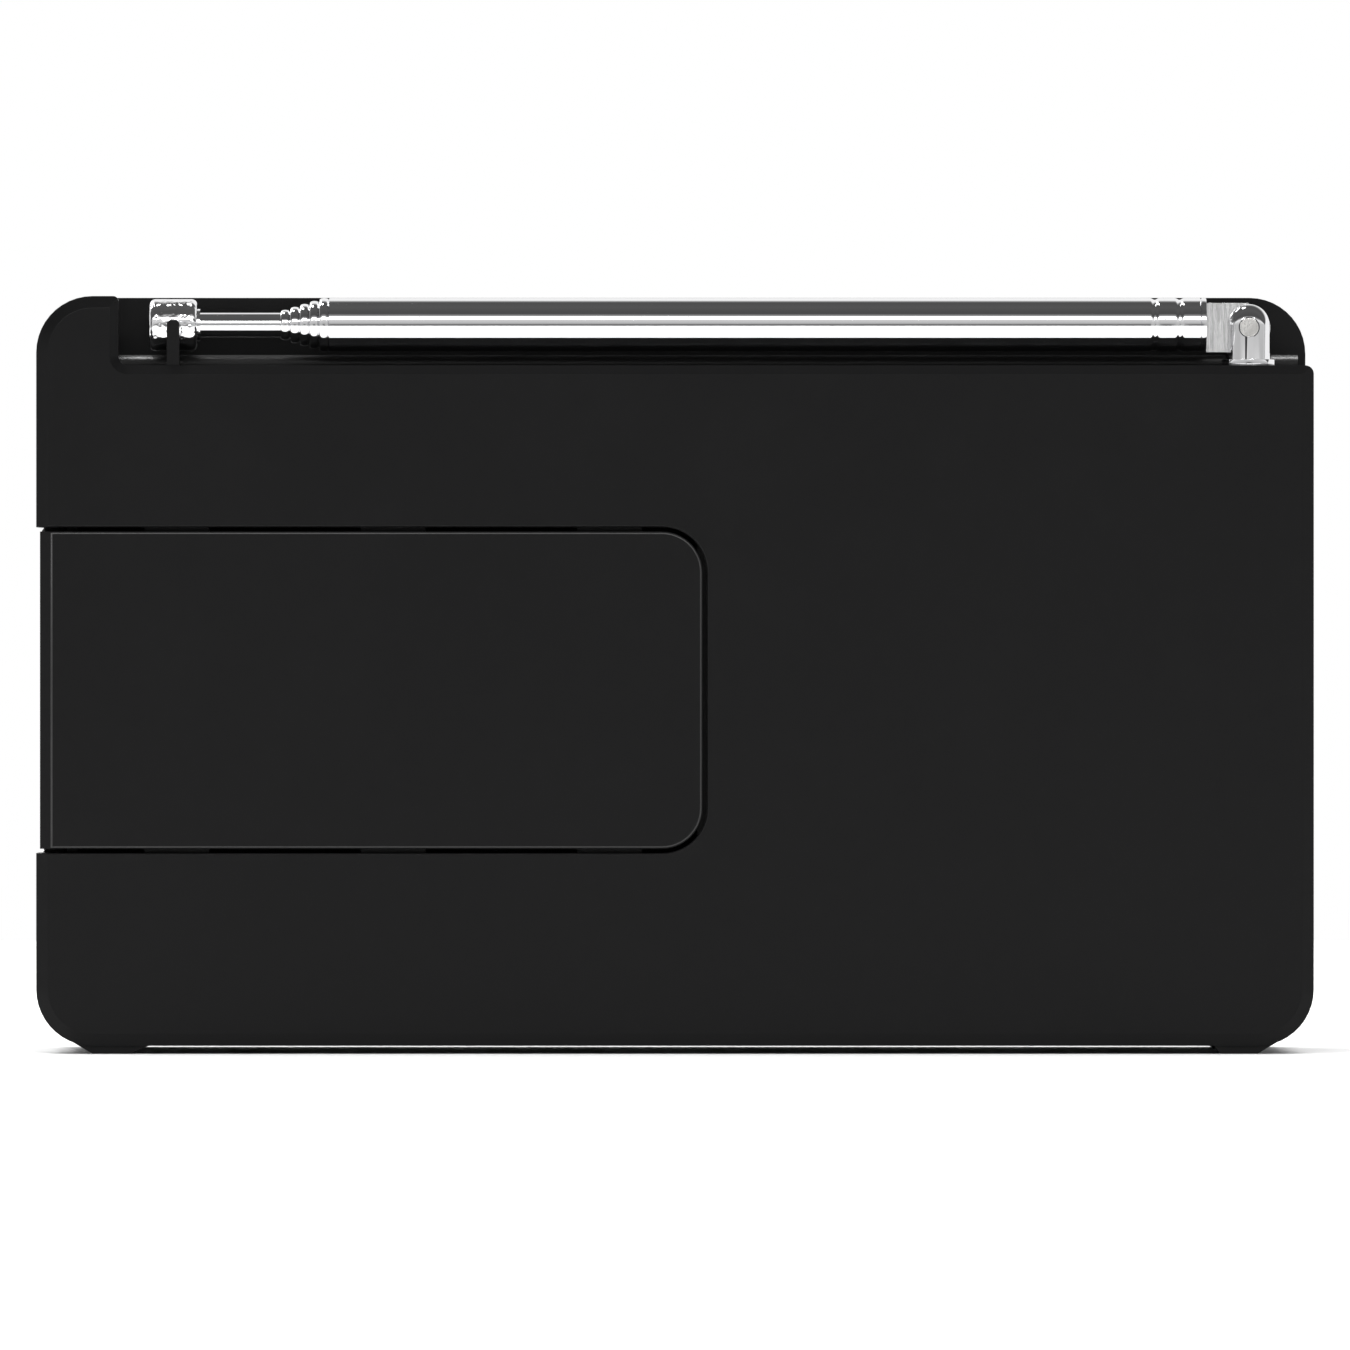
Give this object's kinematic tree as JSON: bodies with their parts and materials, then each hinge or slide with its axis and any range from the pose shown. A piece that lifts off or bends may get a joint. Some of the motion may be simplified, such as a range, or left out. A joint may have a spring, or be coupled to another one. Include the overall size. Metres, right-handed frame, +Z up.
{
  "type": "portable radio",
  "caption": "Pocket-size portable radio with a stowed telescopic antenna, sliding battery door, thumbwheel controls, round speaker grille and earphone socket.",
  "frame": {"origin": "middle of the footprint, on the surface the feet stand on", "axes": "+Z up, -Y towards the front face with speaker and dial, +Y towards the rear face with the antenna bay, +X to the right of the front"},
  "size_m": [0.1185, 0.03, 0.07],
  "materials": {
    "cabinet_plastic": "fine matt moulded black",
    "grille_metal": "satin painted perforated sheet",
    "steel": "plated pressing",
    "cone_paper": "coated paper",
    "ferrite": "ground sintered ferrite",
    "zinc": "zinc plated",
    "clear_lens": "clear acrylic",
    "pointer_red": "printed red",
    "dial_black": "printed black card",
    "wheel_plastic": "moulded black",
    "brass": "turned",
    "white_plastic": "moulded off-white",
    "phenolic": "pressed brown phenolic",
    "switch_grey": "moulded grey",
    "led_red": "tinted epoxy",
    "board": "phenolic paper laminate",
    "chip_plastic": "moulded epoxy",
    "resistor_body": "lacquered with colour bands",
    "capacitor_sleeve": "shrink sleeve",
    "copper": "enamelled wire",
    "nickel": "nickel plated",
    "cell_sleeve": "plain printed sleeve",
    "chrome": "bright chrome plate",
    "wire_white": "vinyl insulation",
    "wire_red": "vinyl insulation"
  },
  "bodies": {
    "case": {"front_cabinet": "cabinet_plastic", "rear_cover": "cabinet_plastic", "speaker_grille": "grille_metal", "speaker_frame": "steel", "speaker_magnet": "ferrite", "speaker_screws": "zinc", "dial_lens": "clear_lens", "dial_pointer": "pointer_red", "tuning_capacitor": "white_plastic", "volume_control": "phenolic", "band_switch": "steel", "power_led": "led_red", "circuit_board": "board", "radio_chip": "chip_plastic", "resistors": "resistor_body", "electrolytic_capacitors": "capacitor_sleeve", "if_transformers": "zinc", "air_coils": "copper", "ferrite_rod": "ferrite", "rod_coil": "copper", "rod_holders": "white_plastic", "earphone_jack": "wheel_plastic", "jack_nut": "nickel", "board_screws": "zinc", "case_screws": "zinc", "negative_terminal": "nickel", "positive_terminal": "nickel", "contact_strip": "nickel", "battery_springs": "nickel", "upper_cell": "cell_sleeve", "lower_cell": "cell_sleeve", "antenna_lug": "brass", "antenna_wire": "wire_white", "speaker_wires": "wire_red"},
    "battery_door": {"battery_door": "cabinet_plastic"},
    "speaker_cone": {"speaker_cone": "cone_paper"},
    "tuning": {"tuning_wheel": "wheel_plastic", "dial_disc": "dial_black", "tuning_shaft": "brass", "tuning_screw": "zinc"},
    "volume": {"volume_wheel": "wheel_plastic", "volume_shaft": "brass", "volume_screw": "zinc"},
    "band_switch_knob": {"band_switch_knob": "switch_grey"},
    "antenna_base": {"antenna_knuckle": "chrome", "antenna_pin": "nickel", "antenna_clip": "nickel"},
    "antenna_arm": {"antenna_blade": "nickel", "antenna_tube_1": "chrome"},
    "antenna_section_2": {"antenna_tube_2": "chrome"},
    "antenna_section_3": {"antenna_tube_3": "chrome"},
    "antenna_section_4": {"antenna_tube_4": "chrome"},
    "antenna_section_5": {"antenna_tube_5": "chrome"},
    "antenna_section_6": {"antenna_rod": "chrome", "antenna_tip": "chrome"}
  },
  "joints": [
    {"name": "battery_door_slide", "type": "slide", "parent": "case", "child": "battery_door", "axis": [1, 0, 0], "range_m": [0, 0.064]},
    {"name": "speaker_cone_travel", "type": "slide", "parent": "case", "child": "speaker_cone", "axis": [0, 1, 0], "range_m": [-0.0005, 0.0005], "stiffness_N_per_m": 600},
    {"name": "tuning_turn", "type": "hinge", "parent": "case", "child": "tuning", "pos_m": [0.0445, -0.009, 0.047], "axis": [0, 1, 0], "range_deg": [-90, 90]},
    {"name": "volume_turn", "type": "hinge", "parent": "case", "child": "volume", "pos_m": [0.049, -0.009, 0.018], "axis": [0, 1, 0], "range_deg": [0, 270]},
    {"name": "band_switch_slide", "type": "slide", "parent": "case", "child": "band_switch_knob", "axis": [1, 0, 0], "range_m": [0, 0.004]},
    {"name": "antenna_swivel", "type": "hinge", "parent": "case", "child": "antenna_base", "pos_m": [-0.0531, 0.0105, 0.064], "axis": [0, 0, 1], "range_deg": [0, 180]},
    {"name": "antenna_tilt", "type": "hinge", "parent": "antenna_base", "child": "antenna_arm", "pos_m": [-0.0531, 0.0105, 0.06715], "axis": [0, -1, 0], "range_deg": [0, 90]},
    {"name": "antenna_slide_2", "type": "slide", "parent": "antenna_arm", "child": "antenna_section_2", "axis": [1, 0, 0], "range_m": [0, 0.07]},
    {"name": "antenna_slide_3", "type": "slide", "parent": "antenna_section_2", "child": "antenna_section_3", "axis": [1, 0, 0], "range_m": [0, 0.07]},
    {"name": "antenna_slide_4", "type": "slide", "parent": "antenna_section_3", "child": "antenna_section_4", "axis": [1, 0, 0], "range_m": [0, 0.07]},
    {"name": "antenna_slide_5", "type": "slide", "parent": "antenna_section_4", "child": "antenna_section_5", "axis": [1, 0, 0], "range_m": [0, 0.07]},
    {"name": "antenna_slide_6", "type": "slide", "parent": "antenna_section_5", "child": "antenna_section_6", "axis": [1, 0, 0], "range_m": [0, 0.07]}
  ]
}
